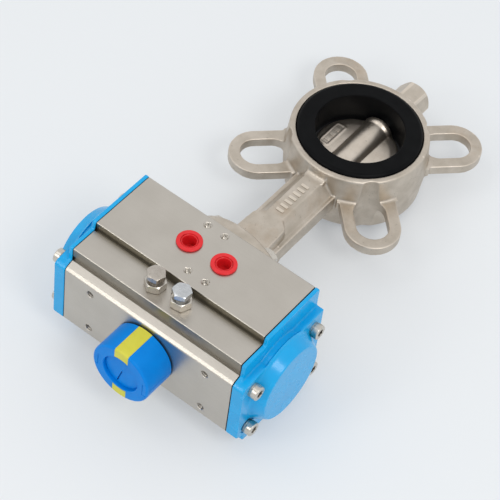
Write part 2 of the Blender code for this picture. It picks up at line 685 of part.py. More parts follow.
def mounting_screws(frame, steel):
    """Hexagon screws through the valve's flange into the actuator, each on a lock washer."""
    for i, (x, z) in enumerate(flange_bolt_places()):
        head = FLANGE_END + GAP + 1.4 + GAP
        shank = round_bar(2.5, FACE_Y - 10, head + 1, SMALL)
        screw = place(f"mounting_screw_{i + 1}", shank, steel, frame, (x, 0, z), TO_VALVE)
        join(screw, prism(hexagon(10.0, 0.2 * i), head, head + 4.0), (x, 0, z), TO_VALVE)
        low = FLANGE_END + GAP
        washer = [(2.9, low), (4.9, low), (4.9, low + 1.4), (2.9, low + 1.4)]
        place(f"lock_washer_{i + 1}", turned(washer, SMALL, ring=True), steel, frame, (x, 0, z),
              TO_VALVE)


# ---- assembly -----------------------------------------------------------------------------

def build():
    for leftover in list(bpy.data.objects):
        bpy.data.objects.remove(leftover, do_unlink=True)

    aluminium = material("anodised_aluminium", (0.48, 0.45, 0.40), 1.0, 0.45)
    blue = material("blue_coating", (0.0, 0.27, 0.62), 0.0, 0.35)
    royal = material("indicator_blue", (0.0, 0.14, 0.62), 0.0, 0.35)
    yellow = material("indicator_yellow", (0.76, 0.66, 0.06), 0.0, 0.4)
    red = material("plug_red", (0.85, 0.05, 0.06), 0.0, 0.4)
    bright = material("plated_steel", (0.62, 0.58, 0.52), 1.0, 0.3)
    steel = material("pinion_steel", (0.42, 0.41, 0.40), 1.0, 0.35)
    stainless = material("cast_stainless", (0.50, 0.45, 0.38), 1.0, 0.5)
    rubber = material("black_rubber", (0.02, 0.022, 0.025), 0.0, 0.55)
    plastic = material("bearing_plastic", (0.7, 0.68, 0.6), 0.0, 0.5)

    frame = empty("pinion_axis", None, (0, 0, -BASE_Z))
    rotor = empty("rotor", frame, (0, 0, 0))
    valve = empty("valve_centre", frame, (0, VALVE_Y, 0))

    cylinder_body(frame, aluminium)
    for name, side in (("left", -1), ("right", 1)):
        end_cap(f"{name}_end_cap", side, frame, blue)
        cap_gasket(f"{name}_cap_gasket", side, frame, rubber)
        port_plug(f"{name}_port_plug", side * PORT_X, frame, red)
        stop_bolt(f"{name}_stop_bolt", side * STOP_X, 0.30 + 0.12 * side, frame, bright)
        stop_nut(f"{name}_stop_nut", side * STOP_X, 0.28 - 0.15 * side, frame, bright)
        slide = empty(f"{name}_slide", frame, (0, 0, 0))
        piston(f"{name}_piston", slide, 0 if side < 0 else math.pi, aluminium)
        piston_rings(name, slide, rubber, plastic)
        guide_pad(f"{name}_guide_pad", slide, plastic)
    end_cap_screws(frame, bright)

    pinion(rotor, steel)
    ring("front_pinion_bush", 7.7, FRONT_BUSH_BORE - GAP, 24.9, 35.2, plastic, frame)
    ring("rear_pinion_bush", 9.8, REAR_BUSH_BORE - GAP, -35.2, -24.0, plastic, frame)
    ring("thrust_washer", 7.8, 12.5, 35.8, 36.8, steel, frame)
    snap_ring(rotor, steel)
    o_ring("front_pinion_o_ring", 6.1, 7.4, 29.3, rubber, rotor)
    o_ring("rear_pinion_o_ring", 8.1, 9.4, -29.0, rubber, rotor)
    indicator_cap(rotor, royal)
    indicator_stripe("indicator_stripe_upper", 1, rotor, yellow)
    indicator_stripe("indicator_stripe_lower", -1, rotor, yellow)

    valve_body(valve, stainless)
    seat_liner(valve, rubber)
    valve_disc(rotor, stainless)
    upper_stem(rotor, steel)
    lower = turned([(5.6, VALVE_Y + 17.0), (STEM_RADIUS, VALVE_Y + 17.5),
                    (STEM_RADIUS, VALVE_Y + 43.0)])
    place("lower_stem", lower, steel, rotor, turn=TO_VALVE)
    inside, outside = STEM_RADIUS + 0.2, STEM_BUSH_POCKET - GAP
    ring("stem_top_bush", inside, outside + 0.7, 36.6, 46.4, plastic, frame, TO_VALVE)
    ring("stem_lower_bush", inside, outside, VALVE_Y - 55.6, VALVE_Y - 42.0, plastic, frame,
         TO_VALVE)
    ring("stub_bush", inside, outside, VALVE_Y + 38.4, VALVE_Y + 42.2, plastic, frame, TO_VALVE)
    o_ring("stem_o_ring", 5.1, 6.2, VALVE_Y - 58.8, rubber, rotor, TO_VALVE)
    stem_end_plug(frame, stainless)
    mounting_screws(frame, bright)


build()
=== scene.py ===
"""Looks for a pneumatic rack-and-pinion actuator on a wafer butterfly valve.

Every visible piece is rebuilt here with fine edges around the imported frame, and every piece gets
a node material. Lengths are millimetres measured from the pinion axis; place() turns them into
the frame's metres, where that axis is 30 mm above the origin.
"""

import math

import bmesh
import bpy
from mathutils import Euler, Matrix, Vector


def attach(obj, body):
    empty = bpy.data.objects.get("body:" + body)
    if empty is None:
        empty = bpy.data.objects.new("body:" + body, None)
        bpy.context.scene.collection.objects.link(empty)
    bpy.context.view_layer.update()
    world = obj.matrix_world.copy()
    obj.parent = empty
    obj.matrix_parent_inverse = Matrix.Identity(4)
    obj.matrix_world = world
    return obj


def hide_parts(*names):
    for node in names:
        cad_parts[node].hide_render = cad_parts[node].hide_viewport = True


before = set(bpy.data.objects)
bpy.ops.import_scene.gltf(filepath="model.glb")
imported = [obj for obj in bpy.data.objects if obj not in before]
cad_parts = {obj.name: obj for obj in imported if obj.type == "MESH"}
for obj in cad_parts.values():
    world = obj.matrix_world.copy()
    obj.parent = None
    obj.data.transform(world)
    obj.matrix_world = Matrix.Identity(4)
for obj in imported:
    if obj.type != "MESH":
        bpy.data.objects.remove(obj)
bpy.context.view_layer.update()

MM = 0.001
AXIS_Z = 30.0

# Actuator.
HALF_LENGTH = 58.0
FACE_Y = 35.5
BASE_Z, PAD_Z, LEDGE_Z = -30.0, 39.2, 33.8
PAD_FRONT_Y, LEDGE_FRONT_Y, SET_BACK_Y = -10.1, -29.1, -33.6
LIP_Z, FRONT_TOP_Z, FRONT_FOOT_Z, FOOT_STEP_Z = 24.4, 22.9, -21.0, -24.0
BORE_RADIUS = 26.0
FRONT_BUSH_BORE, REAR_BUSH_BORE = 10.2, 14.0
PORT_X, PORT_Y, PORT_RADIUS = 12.0, 13.6, 5.6
LEFT_PORT_FLOOR, RIGHT_PORT_FLOOR = 31.2, 25.6
PILOT_PITCH, PILOT_RADIUS, PILOT_DEPTH = 16.0, 2.0, 3.6
AIRWAY_Y, AIRWAY_Z, AIRWAY_RADIUS = 18.0, 27.6, 1.5
BRACKET_X, BRACKET_Z, BRACKET_HOLE, BRACKET_DEPTH = 40.0, 15.0, 2.1, 4.4
BOLT_CIRCLE_RADIUS = 25.0
BOLT_OFFSET = BOLT_CIRCLE_RADIUS / math.sqrt(2)
STOP_X, STOP_Y, STOP_HOLE = 8.9, -19.0, 3.1
STOP_BOLT_FLATS, STOP_NUT_FLATS = 10.0, 11.2
GASKET_IN, GASKET_OUT = 58.08, 58.36
CAP_IN, CAP_LIP, CAP_OUT, CAP_END = 58.45, 60.9, 65.8, 73.3
CAP_PLATE_TOP = 26.2
CAP_BOSS_RADIUS, CAP_BOSS_BASE, CAP_BOSS_Z = 23.6, 28.0, 1.0
CAP_SCREW_Y, CAP_SCREW_Z = 27.0, 16.8
CAP_SCREW_HOLE, SPOT_FACE_RADIUS = 2.8, 5.4

# Indicator.
IND_RADIUS, IND_BACK, IND_FRONT = 19.3, 36.2, 56.6
IND_ROUNDING, RECESS_RADIUS, RECESS_DEPTH = 1.4, 12.0, 2.5
STRIPE_HALF, STRIPE_INNER, STRIPE_THICK = 4.6, 12.95, 0.9
POCKET_GAP, POCKET_INNER, POCKET_DEPTH = 0.08, 12.7, 1.25

# Valve.
VALVE_Y = 161.5
RING_OUTER, RING_INNER, RING_HALF = 42.0, 38.1, 19.75
RING_BELLY = 43.2
LINER_BORE, LINER_HALF = 26.9, 21.1
DISC_RADIUS = 26.3
STEM_HOLE, STEM_BUSH_HOLE = 6.4, 8.0
EAR_TIP, EAR_HALF_WIDTH, EAR_HALF_THICK = 77.1, 16.85, 3.2
SLOT_OUTER, SLOT_INNER, SLOT_HALF_WIDTH = 70.1, 40.6, 9.7
FLANGE_RADIUS, FLANGE_BACK, FLANGE_END = 34.6, 35.8, 45.4
FLANGE_SCREW_FLATS, WASHER_HIGH = 10.0, 1.4
PLUG_END_Y, PLUG_FLATS = 224.6, 19.4
BAR_FIRST_Y, BAR_PITCH, BARS = 83.0, 4.0, 7

# Voxels of the remeshed castings: fine enough for their smallest edges.
CAP_VOXEL, VALVE_VOXEL, DISC_VOXEL = 0.36, 0.5, 0.42

ALONG_X = (math.pi / 2, 0, math.pi / 2)
TO_FRONT = (math.pi / 2, 0, 0)
TO_VALVE = (-math.pi / 2, 0, 0)
UP = (0, 0, 0)
VALVE = (0, VALVE_Y, 0)
EAR_ANGLES = [math.radians(45 + 90 * i) for i in range(4)]


def four(x, y):
    """The four places at plus and minus x and y."""
    return [(a, b) for a in (-x, x) for b in (-y, y)]


CAP_SCREWS = four(CAP_SCREW_Y, CAP_SCREW_Z)
FLANGE_BOLTS = four(BOLT_OFFSET, BOLT_OFFSET)


# ---- shapes -------------------------------------------------------------------------------

def circle(radius, segments, start=0.0):
    step = 2 * math.pi / segments
    angles = [start + i * step for i in range(segments)]
    return [(radius * math.cos(a), radius * math.sin(a)) for a in angles]


def arc(radius, first, last, steps, x, y):
    """Points round the centre (x, y), from one angle in degrees to another."""
    angles = [math.radians(first + (last - first) * i / steps) for i in range(steps + 1)]
    return [(x + radius * math.cos(a), y + radius * math.sin(a)) for a in angles]


def hexagon(across_flats, start):
    return circle(across_flats / math.sqrt(3), 6, start)


def rounded(corners, steps=6):
    """An outline from (x, y, radius) corners, with a true arc at each corner."""
    points = []
    for i, (x, y, radius) in enumerate(corners):
        if radius == 0:
            points.append((x, y))
            continue
        ends = []
        for other in (corners[i - 1], corners[(i + 1) % len(corners)]):
            dx, dy = other[0] - x, other[1] - y
            length = math.hypot(dx, dy)
            ends.append((dx / length, dy / length))
        (ax, ay), (bx, by) = ends
        half = math.acos(max(-1.0, min(1.0, ax * bx + ay * by))) / 2
        back, away = radius / math.tan(half), radius / math.sin(half)
        mx, my = ax + bx, ay + by
        norm = math.hypot(mx, my)
        cx, cy = x + mx / norm * away, y + my / norm * away
        first = math.atan2(y + ay * back - cy, x + ax * back - cx)
        last = math.atan2(y + by * back - cy, x + bx * back - cx)
        sweep = (last - first + math.pi) % (2 * math.pi) - math.pi
        points += [(cx + radius * math.cos(first + sweep * k / steps),
                    cy + radius * math.sin(first + sweep * k / steps)) for k in range(steps + 1)]
    return points


def rounded_box(x0, x1, y0, y1, radius, steps=6):
    return rounded([(x0, y0, radius), (x1, y0, radius), (x1, y1, radius), (x0, y1, radius)], steps)


def mirror(points):
    """The points' images below the first axis, in the order that goes on round the outline."""
    return [(x, -y) for x, y in points[::-1]]


def bridge(bm, first, second):
    """Faces between two loops of as many points."""
    for i in range(len(first)):
        j = (i + 1) % len(first)
        bm.faces.new((first[i], first[j], second[j], second[i]))


def prism(outline, low, high):
    bm = bmesh.new()
    lower = [bm.verts.new((x, y, low)) for x, y in outline]
    upper = [bm.verts.new((x, y, high)) for x, y in outline]
    bm.faces.new(lower[::-1])
    bm.faces.new(upper)
    bridge(bm, lower, upper)
    return bm


def turned(profile, segments, ring=False):
    """A (radius, height) profile turned about Z: a ring, or a body capped at both ends."""
    bm = bmesh.new()
    loops = [[bm.verts.new((x, y, height)) for x, y in circle(radius, segments)]
             for radius, height in profile]
    pairs = list(zip(loops, loops[1:]))
    if ring:
        pairs.append((loops[-1], loops[0]))
    else:
        bm.faces.new(loops[0])
        bm.faces.new(loops[-1])
    for first, second in pairs:
        bridge(bm, first, second)
    return bm


def merge(*parts):
    """Several closed shells in one mesh."""
    whole = bmesh.new()
    for part in parts:
        copy = bpy.data.meshes.new("part")
        part.to_mesh(copy)
        part.free()
        whole.from_mesh(copy)
        bpy.data.meshes.remove(copy)
    return whole


def drills(places, profile, segments=32):
    """The same turned cutter at several (x, y) places."""
    parts = []
    for x, y in places:
        part = turned(profile, segments)
        bmesh.ops.translate(part, vec=(x, y, 0), verts=part.verts)
        parts.append(part)
    return merge(*parts)


def hole(radius, low, high, chamfer=0.0):
    """A drill profile; with a chamfer it opens out at the mouth, which is at high."""
    if not chamfer:
        return [(radius, low), (radius, high)]
    return [(radius, low), (radius, high - chamfer), (radius + chamfer, high),
            (radius + chamfer, high + 1)]


def tapped(radius, low, high):
    """A blind threaded hole: a drill point, a few turns of thread and a chamfered mouth."""
    profile = [(0.3, low), (radius - 0.1, low + 0.9)]
    height = low + 1.2
    while height < high - 0.9:
        profile += [(radius - 0.1, height), (radius + 0.2, height + 0.3)]
        height += 0.6
    return profile + [(radius, high - 0.45), (radius + 0.5, high), (radius + 0.5, high + 1)]


def bar(radius, low, high, segments=64):
    return prism(circle(radius, segments), low, high)


def box(x0, x1, y0, y1, z0, z1):
    return prism([(x0, y0), (x1, y0), (x1, y1), (x0, y1)], z0, z1)


# ---- objects ------------------------------------------------------------------------------

def add_object(name, data):
    made = bpy.data.objects.new(name, data)
    bpy.context.scene.collection.objects.link(made)
    return made


def place(name, bm, at=(0, 0, 0), turn=UP):
    """An object in the frame's metres from a mesh made in millimetres."""
    into_frame = (Matrix.Translation((0, 0, AXIS_Z * MM)) @ Matrix.Scale(MM, 4)
                  @ Matrix.Translation(at) @ Euler(turn).to_matrix().to_4x4())
    bm.transform(into_frame)
    bmesh.ops.recalc_face_normals(bm, faces=bm.faces)
    mesh = bpy.data.meshes.new(name)
    bm.to_mesh(mesh)
    bm.free()
    return add_object(name, mesh)


def settle(obj):
    """Apply all modifiers."""
    graph = bpy.context.evaluated_depsgraph_get()
    graph.update()
    mesh = bpy.data.meshes.new_from_object(obj.evaluated_get(graph))
    obj.modifiers.clear()
    obj.data = mesh


def combine(obj, operation, other):
    """A Boolean with another object, which it uses up."""
    modifier = obj.modifiers.new("combine", 'BOOLEAN')
    modifier.operation = operation
    modifier.solver = 'EXACT'
    modifier.object = other
    settle(obj)
    bpy.data.objects.remove(other)
    return obj


def cut(obj, bm, at=(0, 0, 0), turn=UP):
    return combine(obj, 'DIFFERENCE', place("other", bm, at, turn))


def join(obj, bm, at=(0, 0, 0), turn=UP):
    return combine(obj, 'UNION', place("other", bm, at, turn))


def keep(obj, bm, at=(0, 0, 0), turn=UP):
    return combine(obj, 'INTERSECT', place("other", bm, at, turn))


def fuse(name, pieces, voxel):
    """Overlapping closed shells remeshed into one skin."""
    whole = bmesh.new()
    for piece in pieces:
        whole.from_mesh(piece.data)
        bpy.data.objects.remove(piece)
    mesh = bpy.data.meshes.new(name)
    whole.to_mesh(mesh)
    whole.free()
    obj = add_object(name, mesh)
    soften(obj, voxel, 0)
    return obj


def soften(obj, voxel, passes):
    """Melt a casting's edges and inner corners together, as a mould leaves them."""
    remesh = obj.modifiers.new("remesh", 'REMESH')
    remesh.mode = 'VOXEL'
    remesh.voxel_size = voxel * MM
    if passes:
        smooth = obj.modifiers.new("smooth", 'SMOOTH')
        smooth.factor = 0.5
        smooth.iterations = passes
    settle(obj)


def finish(obj, body, paint, replaces, bevel=0.0, angle=35, segments=2, weigh=True):
    """Shading, material and frame duties of a finished piece."""
    obj.data.shade_smooth()
    if bevel:
        edge = obj.modifiers.new("edges", 'BEVEL')
        edge.width = bevel * MM
        edge.segments = segments
        edge.limit_method = 'ANGLE'
        edge.angle_limit = math.radians(angle)
        edge.use_clamp_overlap = True
    else:
        obj.data.set_sharp_from_angle(angle=math.radians(angle))
    if weigh:
        weighted = obj.modifiers.new("normals", 'WEIGHTED_NORMAL')
        weighted.weight = 60
        weighted.keep_sharp = not bevel
    obj.data.materials.clear()
    obj.data.materials.append(paint)
    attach(obj, body)
    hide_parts(*replaces)


# ---- materials ----------------------------------------------------------------------------

def new_material(name, metallic, roughness):
    made = bpy.data.materials.new(name)
    made.use_nodes = True
    tree = made.node_tree
    shader = tree.nodes["Principled BSDF"]
    shader.inputs["Metallic"].default_value = metallic
    shader.inputs["Roughness"].default_value = roughness
    return made, tree, shader


def coordinates(tree, scale):
    source = tree.nodes.new("ShaderNodeTexCoord")
    mapping = tree.nodes.new("ShaderNodeMapping")
    mapping.inputs["Scale"].default_value = scale
    tree.links.new(source.outputs["Object"], mapping.inputs["Vector"])
    return mapping.outputs["Vector"]


def noise(tree, scale, detail, rough, stretch=(1, 1, 1)):
    node = tree.nodes.new("ShaderNodeTexNoise")
    node.inputs["Scale"].default_value = scale
    node.inputs["Detail"].default_value = detail
    node.inputs["Roughness"].default_value = rough
    tree.links.new(coordinates(tree, stretch), node.inputs["Vector"])
    return node.outputs["Fac"]


def ramp(tree, value, low, high, first, last):
    node = tree.nodes.new("ShaderNodeMapRange")
    node.inputs["From Min"].default_value = low
    node.inputs["From Max"].default_value = high
    node.inputs["To Min"].default_value = first
    node.inputs["To Max"].default_value = last
    tree.links.new(value, node.inputs["Value"])
    return node.outputs["Result"]


def mix(tree, factor, first, second):
    """A colour between two; each is a colour or a socket.

    The node's colour sockets share their names with its others, so they go by number.
    """
    node = tree.nodes.new("ShaderNodeMix")
    node.data_type = 'RGBA'
    tree.links.new(factor, node.inputs["Factor"])
    for value, socket in ((first, node.inputs[6]), (second, node.inputs[7])):
        if isinstance(value, tuple):
            socket.default_value = (*value, 1.0)
        else:
            tree.links.new(value, socket)
    return node.outputs[2]


def mottled(tree, value, first, second):
    """Two colours in soft clouds that follow a noise."""
    return mix(tree, ramp(tree, value, 0.3, 0.7, 0, 1), first, second)


def scaled(colour, factor):
    return tuple(min(1.0, value * factor) for value in colour)


def geometry(tree, output):
    return tree.nodes.new("ShaderNodeNewGeometry").outputs[output]


def axis(tree, vector, letter):
    node = tree.nodes.new("ShaderNodeSeparateXYZ")
    tree.links.new(vector, node.inputs["Vector"])
    return node.outputs[letter]


def times(tree, first, second):
    node = tree.nodes.new("ShaderNodeMath")
    node.operation = 'MULTIPLY'
    tree.links.new(first, node.inputs[0])
    tree.links.new(second, node.inputs[1])
    return node.outputs["Value"]


def cover(tree, shader, colour, roughness):
    tree.links.new(colour, shader.inputs["Base Color"])
    tree.links.new(roughness, shader.inputs["Roughness"])


def bump(tree, shader, heights):
    """Chained bumps from (height, distance in mm, strength)."""
    previous = None
    for height, distance, strength in heights:
        node = tree.nodes.new("ShaderNodeBump")
        node.inputs["Distance"].default_value = distance * MM
        node.inputs["Strength"].default_value = strength
        tree.links.new(height, node.inputs["Height"])
        if previous is not None:
            tree.links.new(previous, node.inputs["Normal"])
        previous = node.outputs["Normal"]
    tree.links.new(previous, shader.inputs["Normal"])


def anodised():
    """Extruded aluminium, blasted and hard anodised: fine grain with faint lengthwise streaks.

    The walls of the long steps are painted darker than the faces as painted shade, darkest on the
    wall under the pad.
    """
    made, tree, shader = new_material("anodised_extrusion", 1.0, 0.42)
    grain = noise(tree, 3200, 4, 0.6)
    cloud = noise(tree, 60, 3, 0.5)
    streak = noise(tree, 900, 3, 0.55, (0.012, 1, 1))
    base = mottled(tree, cloud, (0.520, 0.486, 0.436), (0.560, 0.525, 0.474))
    base = mix(tree, ramp(tree, streak, 0.35, 0.75, 0, 0.15), base, (0.465, 0.434, 0.388))
    base = mix(tree, ramp(tree, grain, 0.55, 0.8, 0, 0.35), base, (0.42, 0.39, 0.35))
    # Painted shade: a wall faces forward, as the front face does, but lies behind it, so it gets
    # the darker wall colour; places are in metres.
    facing = ramp(tree, axis(tree, geometry(tree, "Normal"), "Y"), -0.95, -0.80, 1, 0)
    along = axis(tree, coordinates(tree, (1, 1, 1)), "Y")
    behind = ramp(tree, along, -0.0335, -0.0325, 0, 1)
    wall = mix(tree, ramp(tree, along, -0.022, -0.018, 0, 1), (0.260, 0.245, 0.215),
               (0.215, 0.198, 0.155))
    base = mix(tree, times(tree, facing, behind), base, wall)
    cover(tree, shader, base, ramp(tree, grain, 0.3, 0.7, 0.30, 0.42))
    bump(tree, shader, [(grain, 0.03, 0.6), (streak, 0.01, 0.08)])
    return made


def coating(name, deep, light, roughness):
    """Thick powder or epoxy paint with a slight orange peel, small edge chips and painted shade in
    its hollows.
    """
    made, tree, shader = new_material(name, 0.0, roughness)
    peel = noise(tree, 450, 2, 0.4)
    cloud = noise(tree, 90, 3, 0.5)
    fine = noise(tree, 2500, 3, 0.6)
    pointed = geometry(tree, "Pointiness")
    edge = ramp(tree, pointed, 0.53, 0.60, 0, 1)
    chips = ramp(tree, noise(tree, 260, 4, 0.7), 0.66, 0.70, 0, 1)
    # Painted shade: the colour darkens in hollows and inner corners.
    hollow = ramp(tree, pointed, 0.43, 0.494, 0.8, 0)
    base = mix(tree, hollow, mottled(tree, cloud, deep, light), scaled(deep, 0.55))
    base = mix(tree, times(tree, edge, chips), base, (0.45, 0.50, 0.55))
    cover(tree, shader, base, ramp(tree, cloud, 0.3, 0.7, roughness, roughness + 0.08))
    shader.inputs["Specular IOR Level"].default_value = 0.32
    shader.inputs["Coat Weight"].default_value = 0.18
    shader.inputs["Coat Roughness"].default_value = 0.06
    bump(tree, shader, [(peel, 0.08, 0.18), (fine, 0.01, 0.12)])
    return made


def plastic(name, deep, light, roughness, shine=0.5):
    """Moulded plastic with light scratches."""
    made, tree, shader = new_material(name, 0.0, roughness)
    shader.inputs["Specular IOR Level"].default_value = shine
    cloud = noise(tree, 140, 3, 0.5)
    fine = noise(tree, 3000, 3, 0.6)
    scratch = noise(tree, 500, 5, 0.7, (1, 0.1, 1))
    cover(tree, shader, mottled(tree, cloud, deep, light),
          ramp(tree, scratch, 0.35, 0.7, roughness - 0.05, roughness + 0.08))
    bump(tree, shader, [(fine, 0.02, 0.3), (scratch, 0.01, 0.12)])
    return made


def machined(name, deep, light, roughness):
    """Plated or stainless steel, turned or cold headed, with light handling marks."""
    made, tree, shader = new_material(name, 1.0, roughness)
    cloud = noise(tree, 350, 4, 0.6)
    line = noise(tree, 2600, 4, 0.7)
    cover(tree, shader, mottled(tree, cloud, deep, light),
          ramp(tree, cloud, 0.3, 0.75, roughness - 0.06, roughness + 0.12))
    bump(tree, shader, [(cloud, 0.03, 0.25), (line, 0.008, 0.3)])
    return made


def casting(name, deep, light, stain, roughness, pits):
    """Blasted investment casting: lumps, grain, pits, faint brown stains, painted shade in its
    hollows and lighter edges, partly worn and partly a painted highlight.
    """
    made, tree, shader = new_material(name, 1.0, roughness)
    lumps = noise(tree, 130, 3, 0.5)
    grain = noise(tree, 1500, 5, 0.65)
    pitting = noise(tree, 700, 4, 0.6)
    stains = noise(tree, 38, 5, 0.65)
    base = mottled(tree, lumps, deep, light)
    base = mix(tree, ramp(tree, stains, 0.55, 0.78, 0, 0.55), base, stain)
    base = mix(tree, ramp(tree, pitting, 0.64, 0.74, 0, 0.6), base, scaled(deep, 0.45))
    pointed = geometry(tree, "Pointiness")
    # Painted shade in the hollows; the lighter sharp edges are partly wear and partly a painted
    # highlight.
    base = mix(tree, ramp(tree, pointed, 0.41, 0.490, 0.75, 0), base, scaled(deep, 0.38))
    base = mix(tree, ramp(tree, pointed, 0.515, 0.56, 0, 0.6), base, scaled(light, 1.35))
    cover(tree, shader, base, ramp(tree, grain, 0.3, 0.7, roughness - 0.05, roughness + 0.12))
    pit = ramp(tree, pitting, 0.60, 0.75, 1, 0)
    bump(tree, shader, [(lumps, 0.35, 0.30), (pit, pits, 0.5), (grain, 0.04, 0.55)])
    return made


def rubber(name, deep, light, roughness):
    """Dull black rubber with a little dust."""
    made, tree, shader = new_material(name, 0.0, roughness)
    cloud = noise(tree, 120, 3, 0.5)
    fine = noise(tree, 2600, 3, 0.6)
    dust = noise(tree, 900, 5, 0.7)
    base = mottled(tree, cloud, deep, light)
    base = mix(tree, ramp(tree, dust, 0.62, 0.78, 0, 0.25), base, (0.03, 0.03, 0.032))
    shader.inputs["Specular IOR Level"].default_value = 0.06
    cover(tree, shader, base, ramp(tree, cloud, 0.3, 0.7, roughness - 0.06, roughness + 0.08))
    bump(tree, shader, [(fine, 0.015, 0.35)])
    return made


def floor_paint():
    made, tree, shader = new_material("studio_floor", 0.0, 0.6)
    cloud = noise(tree, 5, 2, 0.5)
    tree.links.new(mix(tree, cloud, (0.50, 0.515, 0.525), (0.51, 0.525, 0.535)),
                   shader.inputs["Base Color"])
    shader.inputs["Specular IOR Level"].default_value = 0.1
    # A lit table: part of its brightness is its own, so the shadows on it stay pale.
    shader.inputs["Emission Color"].default_value = (0.93, 0.96, 1.0, 1.0)
    shader.inputs["Emission Strength"].default_value = 0.295
    return made


ALUMINIUM = anodised()
BLUE = coating("blue_epoxy", (0.0, 0.335, 0.700), (0.0, 0.375, 0.760), 0.22)
ROYAL = plastic("royal_blue_plastic", (0.0, 0.200, 0.660), (0.0, 0.225, 0.710), 0.34, shine=0.12)
YELLOW = plastic("yellow_plastic", (0.590, 0.560, 0.040), (0.630, 0.600, 0.055), 0.42)
RED = plastic("red_plastic", (0.660, 0.010, 0.014), (0.720, 0.016, 0.022), 0.36, shine=0.45)
BRIGHT = machined("plated_fastener", (0.540, 0.505, 0.450), (0.640, 0.605, 0.550), 0.28)
WARM = machined("warm_fastener", (0.440, 0.400, 0.355), (0.540, 0.497, 0.446), 0.28)
SILVER = machined("grey_fastener", (0.520, 0.535, 0.550), (0.620, 0.635, 0.650), 0.24)
STEEL = machined("ground_steel", (0.400, 0.395, 0.385), (0.520, 0.515, 0.500), 0.30)
CAST = casting("cast_stainless", (0.490, 0.435, 0.365), (0.610, 0.548, 0.475),
               (0.460, 0.345, 0.235), 0.40, 0.10)
DISC_CAST = casting("disc_casting", (0.640, 0.565, 0.480), (0.730, 0.655, 0.570),
                    (0.480, 0.370, 0.270), 0.34, 0.06)
RUBBER = rubber("black_rubber", (0.003, 0.0032, 0.0036), (0.005, 0.0053, 0.0058), 0.36)
BEARING = plastic("bearing_plastic", (0.66, 0.64, 0.56), (0.72, 0.70, 0.63), 0.45)


# ---- actuator body and caps ---------------------------------------------------------------

def body_corners(grow=0.0, grooves=True):
    """The extrusion's cross-section as (y, z, corner radius).

    Parts that only follow its outline grow or shrink it and leave out its two narrow grooves.
    """
    g = grow
    corners = [
        (-FACE_Y - g, FRONT_FOOT_Z, 2.0),
        (-FACE_Y - g, FRONT_TOP_Z - 1.6, 1.6),
        (SET_BACK_Y, FRONT_TOP_Z + g, 1.2),
    ]
    if grooves:
        corners += [
            (LEDGE_FRONT_Y - 0.4, LIP_Z, 0.4),
            (LEDGE_FRONT_Y + 1.1, LIP_Z, 0),
            (LEDGE_FRONT_Y + 1.1, LIP_Z + 3.4, 0.2),
            (LEDGE_FRONT_Y, LIP_Z + 3.4, 0.2),
            (LEDGE_FRONT_Y, LEDGE_Z, 0.7),
            (PAD_FRONT_Y - 1.2, LEDGE_Z, 0.4),
            (PAD_FRONT_Y - 1.2, LEDGE_Z - 1.5, 0),
            (PAD_FRONT_Y, LEDGE_Z - 1.5, 0),
        ]
    else:
        corners += [
            (LEDGE_FRONT_Y - 0.4 - g, LIP_Z + g, 0.8),
            (LEDGE_FRONT_Y - g, LEDGE_Z + g, 1.5),
            (PAD_FRONT_Y - 1.0 - g, LEDGE_Z + g, 0.8),
        ]
    corners += [
        (PAD_FRONT_Y - g, PAD_Z + g, 0.7 if grooves else 1.8),
        (FACE_Y + g, PAD_Z + g, 1.5),
        (FACE_Y + g, BASE_Z - g, 3.0),
        (LEDGE_FRONT_Y, BASE_Z - g, 1.5),
        (LEDGE_FRONT_Y - 0.4, FOOT_STEP_Z, 0.5),
        (SET_BACK_Y, FOOT_STEP_Z + 1.2, 1.0),
    ]
    return corners


def side_turn(side):
    """Local Z out of the end cap on that side; local X is then Y on the right, -Y on the left."""
    return (math.pi / 2, 0, side * math.pi / 2)


def on_side(side, points):
    """Points that start with y, in the local axes of side_turn."""
    return [(side * y, *rest) for y, *rest in points]


def cylinder_body():
    half = HALF_LENGTH
    body = place("cylinder_body_fine", prism(rounded(body_corners()), -half, half), turn=ALONG_X)
    cut(body, bar(BORE_RADIUS, -half - 1, half + 1, 96), turn=ALONG_X)
    cut(body, bar(FRONT_BUSH_BORE, 20, 40), turn=TO_FRONT)
    cut(body, bar(REAR_BUSH_BORE, -25, 40), turn=TO_VALVE)
    for side in (-1, 1):
        cut(body, drills(CAP_SCREWS, hole(CAP_SCREW_HOLE, half - 14, half + 1)),
            turn=side_turn(side))
    cut(body, drills(four(BRACKET_X, BRACKET_Z),
                     tapped(BRACKET_HOLE, FACE_Y - BRACKET_DEPTH, FACE_Y)), turn=TO_FRONT)
    cut(body, drills(FLANGE_BOLTS, hole(2.9, FACE_Y - 12, FACE_Y + 1)), turn=TO_VALVE)
    for x, bottom in ((-PORT_X, LEFT_PORT_FLOOR), (PORT_X, RIGHT_PORT_FLOOR)):
        cut(body, drills([(x, PORT_Y)], hole(PORT_RADIUS, bottom, PAD_Z, 0.4), 64))
    rear, front = PORT_Y + PILOT_PITCH, PORT_Y - PILOT_PITCH
    pilots = [(-PORT_X, rear), (0, rear), (0, front), (PORT_X, front)]
    cut(body, drills(pilots, tapped(PILOT_RADIUS, PAD_Z - PILOT_DEPTH, PAD_Z)))
    # The left port opens straight into the bore; a passage from end to end serves the right one.
    cut(body, drills([(-PORT_X, PORT_Y)], hole(1.8, 15, 32)))
    cut(body, drills([(AIRWAY_Y, AIRWAY_Z)], hole(AIRWAY_RADIUS, -half - 1, half + 1)),
        turn=ALONG_X)
    cut(body, drills([(-STOP_X, STOP_Y), (STOP_X, STOP_Y)], hole(STOP_HOLE, 10, LEDGE_Z, 0.5)))
    finish(body, "housing", ALUMINIUM, ["cylinder_body"], 0.14, 40)


